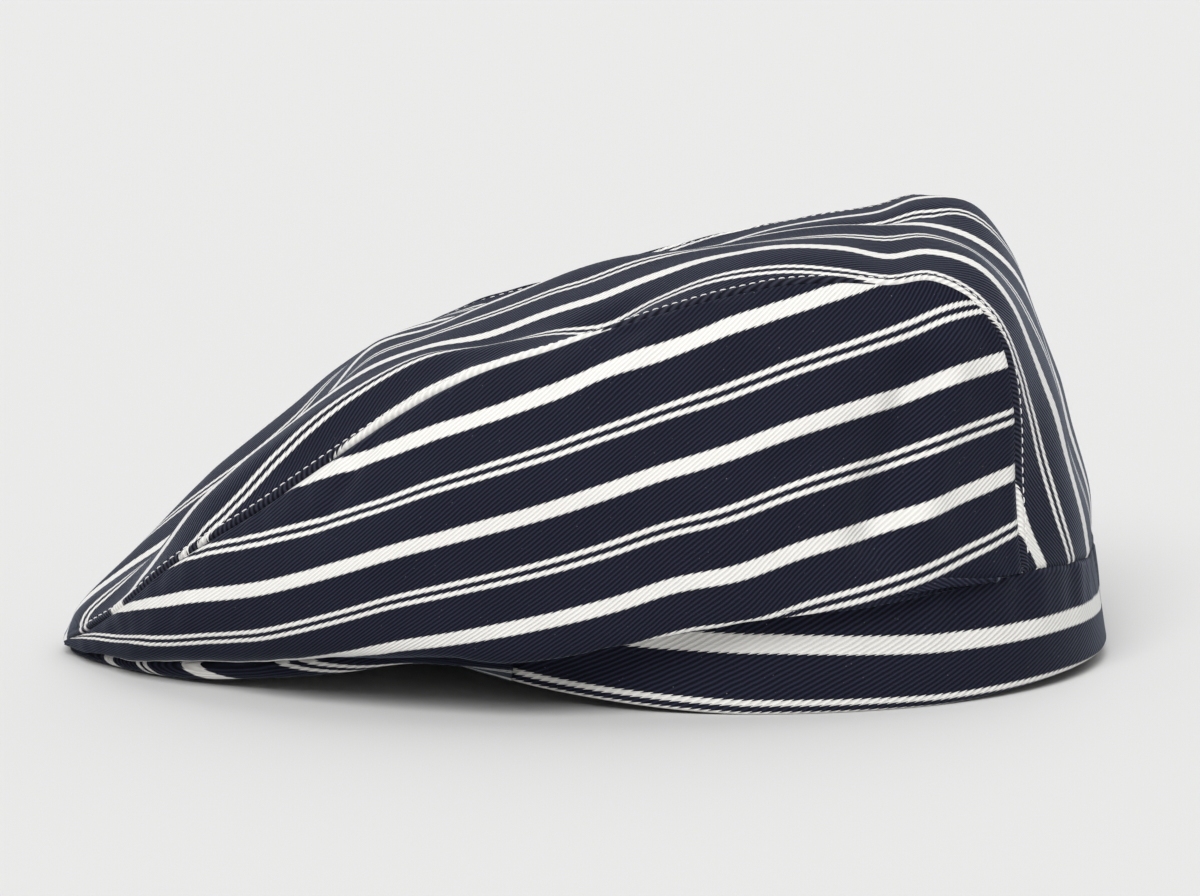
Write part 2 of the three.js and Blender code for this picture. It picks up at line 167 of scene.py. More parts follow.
# %% The pattern's stations
CROWN = table(
    "ridge_x ridge_y ridge_z near mid far lift hollow cut_half",
    [
        (-138.6, 5.0, 3.5, 0.3, 0.4, 0.3, 0, 0, 0),
        (-131.8, 13.5, 8.6, 2.4, 4.0, 2.6, 0, 0, 17),
        (-120.8, 28.5, 19.2, 0.6, 3.0, 2.4, 0, 0, 33),
        (-111.1, 36.0, 28.9, 2.0, 0.6, 2.4, 0, 0, 40),
        (-98.8, 42.5, 38.4, 6.0, 1.0, 3.6, 0, 0, 47),
        (-86.0, 47.5, 47.1, 8.0, 2.6, 5.0, 0, -0.6, 52),
        (-74.1, 50.8, 56.1, 8.2, 4.0, 5.4, 0, -1.4, 56),
        (-62.0, 53.2, 65.0, 8.0, 7.4, 5.6, 0.2, -2.2, 58.6),
        (-50.0, 55.0, 73.5, 7.0, 9.6, 4.4, 0.4, -2.2, 60),
        (-37.5, 56.0, 81.1, 4.8, 6.6, 2.2, -0.2, -2.8, 60.5),
        (-23.9, 56.2, 87.4, 0.4, 7.2, -0.6, -0.8, -3, 60.5),
        (-9.4, 55.2, 91.9, 0.6, 8.4, -1.8, -1.2, -0.6, 60),
        (4.8, 53.2, 96.6, 1.2, 8.6, -2.0, -1.2, 3.4, 58.2),
        (19.5, 51.0, 100.8, 2.8, 7.6, -1.8, -0.8, 1, 55.5),
        (35.0, 49.0, 104.6, 4.4, 5.6, -0.8, -0.4, 0, 54),
        (51.1, 47.2, 107.6, 4.6, 4.4, 0.6, 0.2, 0, 51.5),
        (66.6, 45.8, 108.2, 4.2, 4.2, 1.0, 2.8, 0, 48.5),
        (79.4, 45.0, 107.6, 2.6, 4.0, 1.2, 5.6, 0, 46.5),
        (90.0, 45.0, 108.8, 2.2, 3.0, 2.2, 7.2, 0, 46.5),
        (100.0, 45.0, 103.9, 3.4, 4.6, 5.4, 8.4, 0, 47),
        (107.6, 45.2, 95.6, 3.4, 7.2, 5.6, 6.2, 0, 47.5),
        (111.6, 45.4, 84.0, 4.4, 9.8, 6.4, 2.6, 0, 49.5),
        (113.0, 45.6, 70.0, 6.4, 13.6, 9.6, 0.6, 0, 53.5),
        (113.2, 46.2, 56.0, 8.6, 16.6, 12.4, 0, 0, 57.5),
        (114.0, 48.0, 42.0, 10.8, 20.4, 14.4, 0, 0, 62),
        (115.0, 50.6, 31.8, 10.8, 20.6, 14.2, 0, 0, 68),
    ],
)
CORNER_ROW = 19
LAST_CROWN_ROW = 25
CREST_AT = 0.76
HOLLOW_AT = -0.79
HOLLOW_WIDTH = 0.12
HEM_DROP = 5.6
HEM_DROP_FROM_ROW = 22
HEM_ROW_LENGTH = 10.5

SIDE = table(
    "x shoulder_y shoulder_z belly_y belly_z fold_y fold_z seam_x seam_y seam_z start ease bend",
    [
        (-138.2, 6.0, 3.1, 6.2, 2.7, 6.0, 2.3, -136.9, 5.2, 2.1, 50, 2, 5),
        (-131.2, 17.5, 7.2, 20.0, 4.8, 19.4, 3.2, -130.6, 15.6, 2.7, 38.5, 1.77, 7),
        (-120.6, 34.0, 15.2, 36.6, 9.4, 33.0, 4.8, -120.2, 27.6, 3.9, 26.5, 1.51, 8.5),
        (-110.9, 42.6, 23.6, 45.6, 15.0, 41.6, 7.0, -110.6, 36.0, 5.2, 17, 1.28, 10),
        (-98.9, 50.2, 31.4, 54.0, 19.6, 49.6, 8.6, -98.8, 44.0, 6.6, 11.3, 1.07, 11.2),
        (-86.0, 57.0, 38.4, 62.4, 24.6, 58.4, 10.6, -86.0, 51.2, 8.4, 5.5, 0.95, 11.8),
        (-74.0, 61.6, 45.2, 69.0, 29.4, 66.0, 12.6, -74.0, 57.0, 10.5, 0.3, 0.89, 11.5),
        (-62.0, 65.4, 52.2, 74.6, 34.0, 72.4, 14.4, -62.0, 62.0, 12.6, -4.4, 0.86, 10.2),
        (-50.0, 68.2, 59.0, 79.0, 38.0, 77.6, 15.0, -49.4, 66.2, 14.2, -8.7, 0.86, 8.6),
        (-37.5, 69.6, 66.4, 81.8, 42.0, 81.6, 15.8, -36.0, 68.4, 17.4, -11.5, 0.85, 6.8),
        (-24.0, 70.2, 73.0, 83.6, 45.6, 82.8, 15.4, -21.0, 65.6, 28.0, -13.2, 0.83, 5.9),
        (-9.4, 69.8, 77.6, 84.4, 47.0, 83.6, 18.0, -5.0, 67.6, 36.2, -12.9, 0.81, 5.4),
        (5.6, 68.6, 80.6, 84.4, 47.6, 84.2, 21.0, 12.0, 73.0, 35.4, -11.5, 0.78, 5.2),
        (21.0, 67.0, 82.8, 83.4, 48.4, 84.4, 23.4, 29.0, 76.0, 33.8, -10.4, 0.78, 5),
        (37.5, 65.0, 84.6, 81.6, 49.6, 83.6, 25.8, 46.0, 76.6, 33.0, -8.7, 0.8, 3.4),
        (54.5, 62.4, 85.4, 78.2, 50.6, 81.2, 27.0, 62.0, 75.0, 32.8, -6.5, 0.85, 2.3),
        (70.5, 59.4, 84.6, 73.6, 51.0, 77.2, 28.0, 77.0, 71.2, 32.6, -2.6, 0.9, 1),
        (84.5, 56.2, 83.0, 68.4, 51.0, 70.8, 28.2, 91.0, 65.4, 32.8, 2.2, 0.92, 0.7),
        (97.0, 52.6, 80.6, 61.6, 51.6, 62.6, 28.2, 104.0, 58.4, 31.8, 5.2, 0.93, 1.2),
        (108.0, 47.5, 76.6, 53.6, 53.0, 55.0, 32.4, 115.0, 50.6, 31.8, 10.8, 0.945, 2.2),
    ],
)
LAST_SIDE_ROW = 19
SIDE_KNOTS = (0, 0.34, 0.68, 0.9, 1)
SHOULDER_LEAN = 0.6
FOLD_LEAN = 0.8
REAR_PULL_ROW = 14
REAR_PULL_POWER = 2.5


def ridge_points(u, right=1):
    """A ridge seam, drawn on the right. right is 1 for the right seam, which is lifted, or 0."""
    row = at(CROWN, u)
    return np.stack([row.ridge_x, row.ridge_y, row.ridge_z + row.lift * right], -1)


def top_surface(u, f):
    """The top panel's bare shape at row u and place f across it, -1 on the left ridge, 1 on the
    right.

    It is the straight line between the ridges, raised square to their slope by a smooth curve
    through 0, near, mid, far and 0, less hollow exp(-((f - HOLLOW_AT) / HOLLOW_WIDTH)^2). The hem
    at the back hangs lower in the middle.
    """
    row = at(CROWN, u)
    step = 0.02
    along = ridge_points(u + step, 0) - ridge_points(u - step, 0)
    slope = along[..., [0, 2]] / np.hypot(along[..., 0], along[..., 2])[..., None]
    knots = (-1, -CREST_AT, 0, CREST_AT, 1)
    height = through([0 * u, row.near, row.mid, row.far, 0 * u], knots, f)
    height = height - row.hollow * np.exp(-((f - HOLLOW_AT) / HOLLOW_WIDTH) ** 2)
    near_hem = np.maximum(0, (u - HEM_DROP_FROM_ROW) / (LAST_CROWN_ROW - HEM_DROP_FROM_ROW))
    drop = HEM_DROP * near_hem ** 2 * (1 - f ** 2)
    x = row.ridge_x - slope[..., 1] * height
    z = row.ridge_z + row.lift * (1 + f) / 2 - drop + slope[..., 0] * height
    return np.stack([x, row.ridge_y * f, z], -1)


def side_section(tau, s, right):
    """A side panel's section tau at place s: ridge, shoulder, belly, fold, seam."""
    row = at(SIDE, tau)
    ridge = ridge_points(tau, right)
    shoulder_x = ridge[..., 0] + (row.x - ridge[..., 0]) * SHOULDER_LEAN
    fold_x = row.x + (row.seam_x - row.x) * FOLD_LEAN
    xs = [ridge[..., 0], shoulder_x, row.x, fold_x, row.seam_x]
    ys = [ridge[..., 1], row.shoulder_y, row.belly_y, row.fold_y, row.seam_y]
    zs = [ridge[..., 2], row.shoulder_z, row.belly_z, row.fold_z, row.seam_z]
    return np.stack([through(values, SIDE_KNOTS, s) for values in (xs, ys, zs)], -1)


def side_surface(tau, s, right=1):
    """A side panel's bare shape, drawn on the right. Its rear sections are drawn on to the rear
    ridge."""
    rear = ridge_points(CORNER_ROW + (LAST_CROWN_ROW - CORNER_ROW) * s, right)
    pull = np.clip((tau - REAR_PULL_ROW) / (LAST_SIDE_ROW - REAR_PULL_ROW), 0, 1) ** REAR_PULL_POWER
    last = side_section(np.full_like(tau, LAST_SIDE_ROW), s, right)
    return side_section(tau, s, right) + (rear - last) * pull[..., None]


# %% [markdown]
# ## Where a point lies on the flat cloth
#
# Cloth bends but hardly stretches, so a point's place on the flat cloth is found by walking over
# the folded surface. The distance walked across the panel, from a known stripe, says which stripe
# the point is on, and the distance along it says where the twill ribs fall.

# %% Walking, normals and slow unevenness


def walked(points, axis):
    """Distance walked along one axis of a grid of points, starting at 0."""
    steps = np.linalg.norm(np.diff(points, axis=axis), axis=-1)
    start = [(0, 0), (0, 0)]
    start[axis] = (1, 0)
    return np.pad(np.cumsum(steps, axis=axis), start)


def unit(vectors):
    """The same directions, each of length 1."""
    return vectors / (np.linalg.norm(vectors, axis=-1, keepdims=True) + 1e-12)


def outward(surface, u, v, away_from):
    """Unit normals of a surface function: the cross product of its two slopes, turned so that on
    the whole they point away from a point inside."""
    across_u = surface(u + 0.01, v) - surface(u - 0.01, v)
    across_v = surface(u, v + 0.001) - surface(u, v - 0.001)
    normal = unit(np.cross(across_u, across_v))
    return normal * np.sign(np.sum(normal * (surface(u, v) - away_from)))


def soft_waves(a, b, wavelength, seed, count=7):
    """A smooth uneven field between about -1 and 1: several sine waves in random directions."""
    random = np.random.default_rng(seed)
    total = np.zeros(np.broadcast(a, b).shape)
    for _ in range(count):
        angle, phase = random.uniform(0, 2 * np.pi, 2)
        length = wavelength * random.uniform(0.7, 1.5)
        total += np.sin(2 * np.pi * (a * np.cos(angle) + b * np.sin(angle)) / length + phase)
    return total / np.sqrt(count)


INSIDE_THE_HAT = np.array([20.0, 0.0, 35.0])

# %% [markdown]
# ## From a grid to a wall of cloth
#
# A grid of points becomes quads between neighbours. Cloth has a back as well as a face, and the
# back needs far fewer points, so the inner wall uses every third point of the grid, moved in by
# the cloth's thickness, and a strip round the edge closes the two together. A Solidify modifier
# would make the same wall with twice the triangles.
#
# The flat-cloth place goes into a UV map named cloth, in metres, so that one material serves every
# panel. An attribute named rubbed marks edges that stand proud and wear first.

# %% Meshes from grids


def mesh_object(name, points, faces, cloth=None, rubbed=None):
    """A smooth-shaded object from points in millimetres and arrays of equal-sided faces."""
    corners = np.concatenate([face.ravel() for face in faces]).astype(np.int32)
    sides = np.concatenate([np.full(len(face), face.shape[1]) for face in faces])
    mesh = bpy.data.meshes.new(name)
    mesh.vertices.add(len(points))
    mesh.vertices.foreach_set("co", (points * MM).astype(np.float32).ravel())
    mesh.loops.add(len(corners))
    mesh.loops.foreach_set("vertex_index", corners)
    mesh.polygons.add(len(sides))
    mesh.polygons.foreach_set("loop_start", (np.cumsum(sides) - sides).astype(np.int32))
    mesh.update(calc_edges=True)
    mesh.polygons.foreach_set("use_smooth", np.ones(len(sides), bool))
    if cloth is not None:
        layer = mesh.uv_layers.new(name="cloth")
        layer.data.foreach_set("uv", (cloth[corners] * MM).astype(np.float32).ravel())
    if rubbed is not None:
        layer = mesh.attributes.new("rubbed", "FLOAT", "POINT")
        layer.data.foreach_set("value", rubbed.astype(np.float32).ravel())
    obj = bpy.data.objects.new(name, mesh)
    bpy.context.scene.collection.objects.link(obj)
    return obj


def grid_quads(lines, rows, closed=False):
    """The corner numbers of a grid's quads, the last line joined to the first if closed."""
    i = np.arange(lines if closed else lines - 1)[:, None]
    j = np.arange(rows - 1)[None, :]
    after = (i + 1) % lines
    corners = [i * rows + j, after * rows + j, after * rows + j + 1, i * rows + j + 1]
    return np.stack(np.broadcast_arrays(*corners), -1).reshape(-1, 4)


def rim_of(numbers):
    """The numbers round the edge of a grid, in one loop that starts and ends at its first corner."""
    return np.concatenate([numbers[:-1, 0], numbers[-1, :-1], numbers[:0:-1, -1], numbers[0, :0:-1]])


BACK_STEP = 3


def cloth_wall(name, face, out, thickness, along, across, rubbed, mirror=False):
    """A closed wall of cloth from the grid of its face.

    The back is every third point of the face, moved in by thickness. Each edge piece is a strip
    of one back segment and the three face segments over it.
    """
    lines, rows = face.shape[:2]
    back = (face - out * thickness)[::BACK_STEP, ::BACK_STEP]
    back_lines, back_rows = back.shape[:2]
    front_faces = grid_quads(lines, rows)
    back_faces = grid_quads(back_lines, back_rows)[:, ::-1] + lines * rows
    front_rim = rim_of(np.arange(lines * rows).reshape(lines, rows))
    back_rim = rim_of(np.arange(back_lines * back_rows).reshape(back_lines, back_rows)) + lines * rows
    segment = np.arange(len(back_rim))
    front_part = (segment[:, None] * BACK_STEP + np.arange(BACK_STEP, -1, -1)) % len(front_rim)
    back_part = np.stack([back_rim, np.roll(back_rim, -1)], -1)
    edge_faces = np.concatenate([back_part, front_rim[front_part]], 1)
    both = lambda grid: np.concatenate([grid.ravel(), grid[::BACK_STEP, ::BACK_STEP].ravel()])
    points = np.concatenate([face.reshape(-1, 3), back.reshape(-1, 3)])
    turn = -1 if mirror else 1
    faces = [part[:, ::turn] for part in (front_faces, back_faces, edge_faces)]
    cloth = np.stack([both(along), both(across)], -1)
    obj = mesh_object(name, points * np.array([1, turn, 1]), faces, cloth, both(rubbed))
    print(name, face.shape, "triangles", 2 * len(front_faces) + 2 * len(back_faces) + 4 * len(segment))
    return obj


# %% [markdown]
# ## The butcher-stripe twill
#
# The cloth is woven, so its pattern has rules. Stripes run with the warp: a wide one, then a pair
# of thin ones 15 mm on, then the wide one again at 30 mm. The twill's ribs cross the warp at a
# slant and bite small teeth into each stripe's edges, so that a thin stripe looks like a cord. A
# painted image would blur close up, so the stripes and ribs are worked out from the cloth map
# with a few maths nodes.

# %% A small helper for maths nodes


class Maths:
    """Adds maths nodes to a node tree, so that a formula reads as nested calls."""

    def __init__(self, tree):
        self.tree = tree

    def node(self, kind, **settings):
        node = self.tree.nodes.new(kind)
        for name, value in settings.items():
            setattr(node, name, value)
        return node

    def put(self, socket, value):
        if isinstance(value, bpy.types.NodeSocket):
            self.tree.links.new(value, socket)
        else:
            socket.default_value = value

    def do(self, operation, *values):
        node = self.node("ShaderNodeMath", operation=operation)
        for socket, value in zip(node.inputs, values):
            self.put(socket, value)
        return node.outputs[0]

    def soft_step(self, value, low, high):
        """0 where value is low, 1 where it is high, and smooth between."""
        node = self.node("ShaderNodeMapRange", interpolation_type="SMOOTHSTEP")
        self.put(node.inputs["Value"], value)
        self.put(node.inputs["From Min"], low)
        self.put(node.inputs["From Max"], high)
        return node.outputs["Result"]

    def mix(self, factor, a, b, blend="MIX"):
        node = self.node("ShaderNodeMix", data_type="RGBA", blend_type=blend)
        self.put(node.inputs[0], factor)
        self.put(node.inputs[6], a)
        self.put(node.inputs[7], b)
        return node.outputs[2]

    def noise(self, vector, scale, detail=2.0):
        node = self.node("ShaderNodeTexNoise")
        self.put(node.inputs["Vector"], vector)
        self.put(node.inputs["Scale"], scale)
        self.put(node.inputs["Detail"], detail)
        return node.outputs["Fac"]


def new_group(name, inputs, outputs):
    """An empty shader node group with named sockets, and its maths helper."""
    group = bpy.data.node_groups.new(name, "ShaderNodeTree")
    for label, kind in inputs:
        group.interface.new_socket(label, in_out="INPUT", socket_type="NodeSocket" + kind)
    for label, kind in outputs:
        group.interface.new_socket(label, in_out="OUTPUT", socket_type="NodeSocket" + kind)
    maths = Maths(group)
    return group, maths, maths.node("NodeGroupInput").outputs, maths.node("NodeGroupOutput").inputs


# %% The ribs of the twill
RIB_PITCH = 1.1 * MM
RIB_ANGLE = np.radians(28.0)
RIB_WANDER = 0.2 * MM


def twill_ribs_group():
    """Cloth place in metres to rib height from 0 to 1, and to the teeth, from -0.5 to 0.5.

    rib = (along sin angle + across cos angle + a little noise) / pitch. The height is
    0.5 + 0.5 cos(2 pi rib), and the teeth are the fraction of rib less a half.
    """
    group, m, given, out = new_group(
        "twill_ribs", [("Cloth", "Vector")], [("Height", "Float"), ("Teeth", "Float")]
    )
    split = m.node("ShaderNodeSeparateXYZ")
    m.put(split.inputs[0], given["Cloth"])
    slant_along = m.do("MULTIPLY", split.outputs[0], np.sin(RIB_ANGLE))
    slant_across = m.do("MULTIPLY", split.outputs[1], np.cos(RIB_ANGLE))
    slub = m.do("SUBTRACT", m.noise(given["Cloth"], 240.0, 3.0), 0.5)
    wander = m.do("MULTIPLY", slub, 2 * RIB_WANDER)
    rib = m.do("DIVIDE", m.do("ADD", m.do("ADD", slant_along, slant_across), wander), RIB_PITCH)
    wave = m.do("COSINE", m.do("MULTIPLY", rib, 2 * np.pi))
    m.put(out["Height"], m.do("MULTIPLY_ADD", wave, 0.5, 0.5))
    m.put(out["Teeth"], m.do("SUBTRACT", m.do("FRACT", rib), 0.5))
    return group


twill_ribs = twill_ribs_group()

# %% The stripes
HALF_REPEAT = 15.0 * MM
WIDE_STRIPE_HALF = 2.12 * MM
THIN_STRIPE_INNER = 0.72 * MM
THIN_STRIPE_OUTER = 2.04 * MM
STRIPE_EDGE = 0.09 * MM
TOOTH = 0.5 * MM


def butcher_stripe_group():
    """Cloth place and teeth to a mask, 1 on a cream stripe and 0 on the navy.

    The distance to the nearest wide stripe folds back and forth every 15 mm. Under 2.1 mm it is
    the wide stripe, and within 0.7 to 2 mm of the far turn it is the pair of thin ones.
    """
    group, m, given, out = new_group(
        "butcher_stripe", [("Cloth", "Vector"), ("Teeth", "Float")], [("Stripe", "Float")]
    )
    split = m.node("ShaderNodeSeparateXYZ")
    m.put(split.inputs[0], given["Cloth"])
    toothed = m.do("ADD", split.outputs[1], m.do("MULTIPLY", given["Teeth"], TOOTH))
    folded = m.do("PINGPONG", toothed, HALF_REPEAT)
    wide = m.soft_step(folded, WIDE_STRIPE_HALF + STRIPE_EDGE, WIDE_STRIPE_HALF - STRIPE_EDGE)
    pair = m.do("SUBTRACT", HALF_REPEAT, folded)
    outer = m.soft_step(pair, THIN_STRIPE_OUTER + STRIPE_EDGE, THIN_STRIPE_OUTER - STRIPE_EDGE)
    inner = m.soft_step(pair, THIN_STRIPE_INNER - STRIPE_EDGE, THIN_STRIPE_INNER + STRIPE_EDGE)
    m.put(out["Stripe"], m.do("MAXIMUM", wide, m.do("MULTIPLY", outer, inner)))
    return group


butcher_stripe = butcher_stripe_group()

# %% [markdown]
# ## The cloth's colour and surface
#
# Cotton twill is dull face on, and its loose fibres catch light at a glancing angle, which turns
# navy to blue-grey over the crown. The Principled shader's sheen is made for that. The colour has
# painted shade in the valleys between the ribs and a painted highlight on their tops, the dye is a
# little uneven, and pale lint sits on the navy.

# %% The colour group


def dyed_twill_group():
    """Stripe mask and rib height to colour, height in metres and roughness.

    Navy is multiplied by (0.4 + 1.7 rib height^1.6), which is painted shade in the valleys between
    the ribs and a painted highlight on their tops, and by a slow patchiness of the dye. Cream is
    multiplied by (0.8 + 0.2 rib height), which is painted shade in its rib valleys, and lint is a
    fine noise cut off high.
    """
    group, m, given, out = new_group(
        "dyed_twill",
        [("Cloth", "Vector"), ("Navy", "Color"), ("Cream", "Color"), ("Rubbed", "Float")],
        [("Color", "Color"), ("Height", "Float"), ("Roughness", "Float")],
    )
    ribs = m.node("ShaderNodeGroup", node_tree=twill_ribs)
    m.put(ribs.inputs["Cloth"], given["Cloth"])
    stripes = m.node("ShaderNodeGroup", node_tree=butcher_stripe)
    m.put(stripes.inputs["Cloth"], given["Cloth"])
    m.put(stripes.inputs["Teeth"], ribs.outputs["Teeth"])
    rib, stripe = ribs.outputs["Height"], stripes.outputs["Stripe"]
    patch = m.do("MULTIPLY_ADD", m.noise(given["Cloth"], 30.0), 0.36, 0.82)
    # painted rib light: shade in the valleys between the ribs and a highlight on their tops, multiplied
    # into the navy
    ridged = m.do("POWER", rib, 1.6)
    navy_painted_rib_light = m.do("MULTIPLY", m.do("MULTIPLY_ADD", ridged, 1.7, 0.42), patch)
    navy = m.mix(1.0, given["Navy"], navy_painted_rib_light, "MULTIPLY")
    lint = m.soft_step(m.noise(given["Cloth"], 1500.0, 1.0), 0.76, 0.82)
    dusty = m.mix(m.do("MULTIPLY", lint, 0.20), navy, given["Cream"])
    rub = m.do("MULTIPLY", m.do("MULTIPLY", given["Rubbed"], rib), 0.018)
    worn = m.mix(rub, dusty, given["Cream"])
    # painted shade in the valleys between the ribs of the cream stripes
    cream_painted_rib_shade = m.do("MULTIPLY_ADD", rib, 0.20, 0.80)
    cream = m.mix(1.0, given["Cream"], cream_painted_rib_shade, "MULTIPLY")
    m.put(out["Color"], m.mix(stripe, worn, cream))
    yarn = m.do("MULTIPLY", m.noise(given["Cloth"], 3000.0, 1.0), 0.35)
    raised = m.do("MULTIPLY_ADD", given["Rubbed"], 0.2, 1.0)
    height = m.do("MULTIPLY", m.do("ADD", rib, yarn), m.do("MULTIPLY", raised, 0.15 * MM))
    m.put(out["Height"], height)
    m.put(out["Roughness"], m.do("MULTIPLY_ADD", patch, 0.1, 0.76))
    return group


dyed_twill = dyed_twill_group()
print("dyed_twill has", len(dyed_twill.nodes), "nodes")

# %% The cloth materials
NAVY = (0.0098, 0.0112, 0.0225, 1)
CREAM = (0.875, 0.862, 0.825, 1)


def cloth_material(name, sheen):
    """A Principled shader fed by the dyed twill group, with cotton's sheen."""
    material = bpy.data.materials.new(name)
    material.use_nodes = True
    m = Maths(material.node_tree)
    shader = material.node_tree.nodes["Principled BSDF"]
    shader.inputs["Sheen Weight"].default_value = sheen
    shader.inputs["Sheen Roughness"].default_value = 0.34
    shader.inputs["Sheen Tint"].default_value = (0.72, 0.82, 1.0, 1)
    shader.inputs["Specular IOR Level"].default_value = 0.14
    cloth = m.node("ShaderNodeGroup", node_tree=dyed_twill)
    m.put(cloth.inputs["Cloth"], m.node("ShaderNodeUVMap", uv_map="cloth").outputs[0])
    m.put(cloth.inputs["Navy"], NAVY)
    m.put(cloth.inputs["Cream"], CREAM)
    m.put(cloth.inputs["Rubbed"], m.node("ShaderNodeAttribute", attribute_name="rubbed").outputs["Fac"])
    m.put(shader.inputs["Base Color"], cloth.outputs["Color"])
    m.put(shader.inputs["Roughness"], cloth.outputs["Roughness"])
    bump = m.node("ShaderNodeBump")
    bump.inputs["Distance"].default_value = 1.0
    bump.inputs["Strength"].default_value = 1.0
    m.put(bump.inputs["Height"], cloth.outputs["Height"])
    m.put(shader.inputs["Normal"], bump.outputs[0])
    return material


crown_cloth = cloth_material("crown_cloth", 0.24)
band_cloth = cloth_material("band_cloth", 0.24)
peak_cloth = cloth_material("peak_cloth", 0.20)

# %% [markdown]
# ## The rolled ridge seam
#
# Along each ridge the top panel's edge is folded under and topstitched over the side panel. The
# fold makes a thick rounded roll, the thread pulls a shallow groove behind it, and the side panel
# tucks in below. The roll is real height on the mesh, because its shadow and the way the stripes
# wrap it show at arm's length.

# %% The roll, the groove and the tuck
CLOTH_THICKNESS = 1.6
ROLL_KNOTS = (0, 0.3, 0.65, 1.05, 1.45, 1.8, 2.3, 4.0, 8.0)
ROLL_HEIGHTS = (-1.2, -0.15, 0.4, 0.55, 0.42, 0.18, 0.28, 0.15, 0.0)
ROLL_OVERHANG = 0.45
ROLL_LOW_FROM_ROW = 10.5
STITCH_LINE = 1.8
STITCH_PITCH = 2.6


def roll(distance, along):
    """Height of the folded edge at a distance from the ridge and a place along it."""
    shape = through([float(h) for h in ROLL_HEIGHTS], ROLL_KNOTS, np.clip(distance, 0, 9))
    uneven = 1 + 0.22 * soft_waves(along, 0 * along, 11.0, 3)
    pucker = 0.2 * soft_waves(along, 0 * along, 7.5, 4) * np.exp(-distance / 6.0)
    return shape * uneven + pucker * ramp(distance, 1.5, 3.5)


def tuck(distance, along):
    """The side panel dips under the roll, and small puckers fade into the cloth."""
    pucker = 0.26 * soft_waves(along, 0 * along, 8.0, 5) * np.exp(-distance / 8.0)
    return -0.8 * np.exp(-(distance / 1.0) ** 2) + pucker * ramp(distance, 0.8, 3.0)


def hem_curl(distance):
    """The last millimetre above a hem turns inwards."""
    return -0.9 * np.exp(-(distance / 0.8) ** 2)


# %% [markdown]
# ## The top panel
#
# Its face is the bare surface, raised by the roll along both ridges and by a slow unevenness that
# no pressed cloth is free of. Points crowd towards the ridges, where the detail is.

# %% Creases
CREASES_TOP = table(
    "x0 y0 x1 y1 width depth",
    [
        (44, 15, 92, 13, 5.5, -1.8),
        (44, 2, 80, -2, 5.0, 0.7),
        (-60, 22, -10, 30, 7.0, -0.8),
        (0, -12, 40, -22, 6.0, -0.6),
    ],
)


def creased(creases, x, y):
    """Sum of the creases' heights at x along the hat and y across it.

    On a side panel y is the distance down from the ridge. Each crease runs in a line from x0, y0
    to x1, y1. It is its depth times exp(-(distance from that line / width)^2), below nought for a
    valley, and fades past its ends.
    """
    rows = [column.reshape((-1,) + (1,) * x.ndim) for column in creases.values()]
    x0, y0, x1, y1, width, depth = rows
    length2 = (x1 - x0) ** 2 + (y1 - y0) ** 2
    share = np.clip(((x - x0) * (x1 - x0) + (y - y0) * (y1 - y0)) / length2, 0, 1)
    away2 = (x - x0 - share * (x1 - x0)) ** 2 + (y - y0 - share * (y1 - y0)) ** 2
    return np.sum(depth * np.exp(-away2 / width ** 2), 0)


# %% The top panel's grid
TOP_LINES = 514
TOP_ROWS = 154
EDGE_CROWDING = 0.62


def top_distances(u, f):
    """Distance from the nearer ridge along the cloth, and the direction out over that ridge."""
    side = np.sign(f)
    edge, inside = top_surface(u, side), top_surface(u, side * 0.98)
    speed = np.linalg.norm(edge - inside, axis=-1) / 0.02
    return (1 - np.abs(f)) * speed, unit(edge - inside)


def top_face(u, f, along, out):
    """The finished face of the top panel."""
    distance, over = top_distances(u, f)
    settled = ramp(u, 0.0, 0.8)
    proud = 1 - 0.45 * ramp(u, ROLL_LOW_FROM_ROW, ROLL_LOW_FROM_ROW + 2)
    slow = 0.35 * soft_waves(along, f * 55, 38.0, 11) * ramp(distance, 4, 16)
    bare = top_surface(u, f)
    folds = creased(CREASES_TOP, bare[..., 0], bare[..., 1]) * ramp(distance, 1, 8)
    hem = (LAST_CROWN_ROW - u) * HEM_ROW_LENGTH
    height = (roll(distance, along) * proud + slow + folds) * settled + hem_curl(hem)
    overhang = ROLL_OVERHANG * np.exp(-(distance / 0.9) ** 2) * settled * proud
    return bare + out * height[..., None] + over * overhang[..., None]


u_line = np.linspace(0, LAST_CROWN_ROW, TOP_LINES)
evenly = np.linspace(-1, 1, TOP_ROWS)
f_line = EDGE_CROWDING * np.sin(evenly * np.pi / 2) + (1 - EDGE_CROWDING) * evenly
u, f = np.meshgrid(u_line, f_line, indexing="ij")
top_bare = top_surface(u, f)
middle_walk = walked(top_surface(u_line[:, None], np.zeros((1, 1))), 0)
top_along = middle_walk + 0 * u
top_across = at(CROWN, u).cut_half - walked(top_bare, 1)
top_out = outward(top_surface, u, f, INSIDE_THE_HAT)
top_points = top_face(u, f, top_along, top_out)
top_rubbed = np.exp(-(top_distances(u, f)[0] / 1.3) ** 4)
top_panel = cloth_wall(
    "top_panel_cloth", top_points, top_out, CLOTH_THICKNESS, top_along, top_across, top_rubbed
)
top_panel.data.materials.append(crown_cloth)

# %% [markdown]
# ## The side panels
#
# A cap that has been worn and put down keeps creases. Each is a short soft valley or ridge: a
# line on the panel, a width and a depth. The two sides wear differently, so each has its own list.

